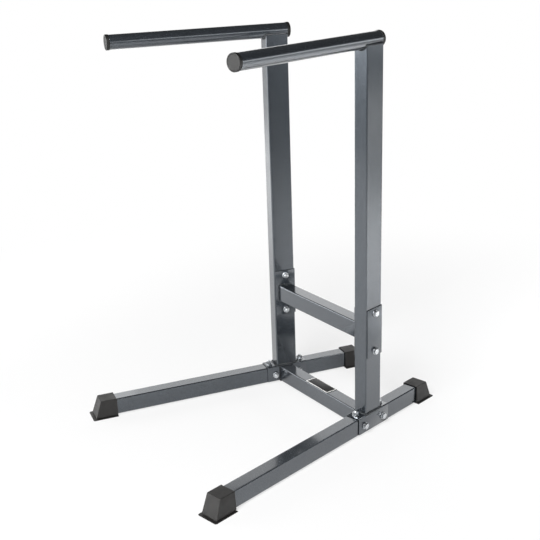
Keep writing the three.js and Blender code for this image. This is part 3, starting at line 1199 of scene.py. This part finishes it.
def barSeam(side, node):
    low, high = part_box(node)
    middle = (low + high) / 2
    grow = 2 * weld["rise"]
    loop = rectangle(high.y - low.y + grow, high.z - low.z + grow, tube["corner"])
    points = []
    for u, v in loop:
        reach = barEnd(node, middle.y + u) - weld["rise"]
        points.append(Vector((outwardOf(side) * reach, middle.y + u, middle.z + v)))
    return points


weldSeam = weldTree()
for side in sides:
    addWeld(side, "saddle", saddleSeam(side))
    addWeld(side, "base", baseSeam(side))
    addWeld(side, "brace", barSeam(side, "mid_brace"))
    addWeld(side, "crossbar", barSeam(side, "base_crossbar"))
print("weld beads made")


# Camera: the photo's own view.

view = {
    "place": (2.5272, -1.6841, 1.6041),
    "azimuth": 56.98, "elevation": 21.58, "roll": -2.21,  # in degrees
    "focal": 953.5, "centre": (264.0, 312.0), "side": 540,  # in the photo's pixels
    "sensor": 36,  # in millimetres, as Blender has it
}


def addCamera():
    azimuth, elevation, roll = (
        math.radians(view[key]) for key in ("azimuth", "elevation", "roll")
    )
    forward = Vector((
        -math.sin(azimuth) * math.cos(elevation), math.cos(azimuth) * math.cos(elevation),
        -math.sin(elevation),
    ))
    right = Vector((math.cos(azimuth), math.sin(azimuth), 0))
    up = right.cross(forward)
    across = right * math.cos(roll) + up * math.sin(roll)
    upward = up * math.cos(roll) - right * math.sin(roll)
    turn = Matrix((across, upward, -forward)).transposed().to_4x4()
    data = bpy.data.cameras.new("photoCamera")
    data.sensor_width = view["sensor"]
    data.lens = view["focal"] / view["side"] * view["sensor"]
    data.shift_x = (view["side"] / 2 - view["centre"][0]) / view["side"]
    data.shift_y = (view["centre"][1] - view["side"] / 2) / view["side"]
    camera = linked("photoCamera", data)
    camera.matrix_world = Matrix.Translation(view["place"]) @ turn
    bpy.context.scene.camera = camera


addCamera()
print("camera made")


# Studio: a pale floor, soft lamps round the part and a dark ceiling over a glowing horizon.

studio = {
    "floorSize": 24, "floorRight": 17,  # the uprights' tops mirror the floor far out there
    "floorColor": "#e9e9e9", "fadeFrom": 0.9, "fadeTo": 2.6, "nearShare": 0.68,
    "ambient": 0.06, "aim": (0, 0.1, 0.6),  # the part's middle
}

# Glowing parts of the horizon: compass direction and top edge in degrees, and the cosines
# between which they fade in sideways
sweeps = {
    "backRight": {"towards": 60, "side": (0.5, 0.85), "top": (3, 7), "strength": 2.4},
    "right": {"towards": 5, "side": (0.7, 0.93), "top": (3, 10), "strength": 1.2},
    "front": {"towards": 258, "side": (0.65, 0.93), "top": (3, 10), "strength": 6.5},
}

# Lamps aim at the part's middle; the pools light the floor where the part mirrors it
softboxes = {
    "keyLeft": {"place": (-3.7, -0.5, 1.2), "size": (3.4, 2.4), "power": 14},
    "leftFront": {"place": (-3.0, -2.8, 1.1), "size": (2.0, 1.8), "power": 50},
    "frontRight": {"place": (1.4, -2.5, 3.3), "size": (1.8, 1.8), "power": 215},
    "backLeft": {"place": (-2.75, 1.5, 1.2), "aim": (0, 0, 1.2), "size": (4.0, 2.4),
                 "power": 36},
    "right": {"place": (3.8, 0.6, 1.75), "size": (2.0, 0.8), "power": 8},
    "backPool": {"place": (1.2, 2.1, 2.6), "aim": (1.2, 2.1, 0), "size": (2.0, 1.6),
                 "power": 34, "spread": 80},
    "leftPool": {"place": (-3.6, -0.6, 2.8), "aim": (-3.6, -0.6, 0), "size": (3.0, 3.0),
                 "power": 34, "spread": 80},
    "farPool": {"place": (3.3, 5.2, 3.2), "aim": (3.3, 5.2, 0), "size": (3.0, 4.0),
                "power": 60, "spread": 90},
}


def smoothRange(tree, value, low, high, start=0.0, end=1.0):
    return addNode(tree, "ShaderNodeMapRange", {"interpolation_type": "SMOOTHSTEP"}, {
        "Value": value, "From Min": low, "From Max": high, "To Min": start, "To Max": end,
    }).outputs["Result"]


def mixedShader(tree, share, first, second):
    mixed = addNode(tree, "ShaderNodeMixShader", inputs={0: share, 1: first, 2: second})
    return mixed.outputs["Shader"]


def addFloor():
    half = studio["floorSize"] / 2
    right = studio["floorRight"]
    corners = [(-half, -half, 0), (right, -half, 0), (right, half, 0), (-half, half, 0)]
    mesh = bpy.data.meshes.new("floor")
    mesh.from_pydata(corners, [], [(0, 1, 2, 3)])
    # Matt white paint: for the camera it fades into the white backdrop
    material = bpy.data.materials.new("paleStudioFloor")
    material.use_nodes = True
    tree = material.node_tree
    tree.nodes.clear()
    coordinates = addNode(tree, "ShaderNodeTexCoord").outputs["Object"]
    distance = vectorMath(tree, "LENGTH", coordinates)["Value"]
    fade = smoothRange(tree, distance, studio["fadeFrom"], studio["fadeTo"],
                       studio["nearShare"])
    seen = addNode(tree, "ShaderNodeLightPath").outputs["Is Camera Ray"]
    share = mathNode(tree, "MULTIPLY", fade, seen)
    paint = addNode(tree, "ShaderNodeBsdfDiffuse", inputs={"Color": linear(studio["floorColor"])})
    glow = addNode(tree, "ShaderNodeEmission", inputs={"Color": white, "Strength": 1.0})
    surface = mixedShader(tree, share, paint.outputs["BSDF"], glow.outputs["Emission"])
    addNode(tree, "ShaderNodeOutputMaterial", inputs={"Surface": surface})
    mesh.materials.append(material)
    floor = linked("floor", mesh)


def addWorld():
    world = bpy.data.worlds.new("studio")
    bpy.context.scene.world = world
    world.use_nodes = True
    tree = world.node_tree
    tree.nodes.clear()
    direction = addNode(tree, "ShaderNodeTexCoord").outputs["Generated"]
    parts = addNode(tree, "ShaderNodeSeparateXYZ", inputs={0: direction}).outputs
    glow = studio["ambient"]
    for setting in sweeps.values():
        turn = math.radians(setting["towards"])
        facing = mathNode(tree, "ADD", mathNode(tree, "MULTIPLY", parts["X"], math.cos(turn)),
                          mathNode(tree, "MULTIPLY", parts["Y"], math.sin(turn)))
        low, high = (math.sin(math.radians(angle)) for angle in setting["top"])
        upward = smoothRange(tree, parts["Z"], low, high, 1.0, 0.0)
        sideways = smoothRange(tree, facing, *setting["side"])
        share = mathNode(tree, "MULTIPLY", upward, sideways)
        strength = mathNode(tree, "MULTIPLY", share, setting["strength"])
        glow = mathNode(tree, "ADD", strength, glow)
    seen = addNode(tree, "ShaderNodeLightPath").outputs["Is Camera Ray"]
    soft = addNode(tree, "ShaderNodeBackground", inputs={"Color": white, "Strength": glow})
    plain = addNode(tree, "ShaderNodeBackground", inputs={"Color": white, "Strength": 1.0})
    surface = mixedShader(tree, seen, soft.outputs["Background"], plain.outputs["Background"])
    addNode(tree, "ShaderNodeOutputWorld", inputs={"Surface": surface})


def addSoftboxes():
    for name, setting in softboxes.items():
        data = bpy.data.lights.new(name, "AREA")
        data.shape = "RECTANGLE"
        data.size, data.size_y = setting["size"]
        data.energy = setting["power"]
        data.spread = math.radians(setting.get("spread", 180))
        lamp = linked(name, data)
        lamp.location = setting["place"]
        towards = Vector(setting.get("aim", studio["aim"])) - Vector(setting["place"])
        lamp.rotation_euler = towards.to_track_quat("-Z", "Y").to_euler()
        lamp.visible_camera = False


addFloor()
addWorld()
addSoftboxes()
bpy.context.scene.view_settings.view_transform = "Standard"
print("studio made")
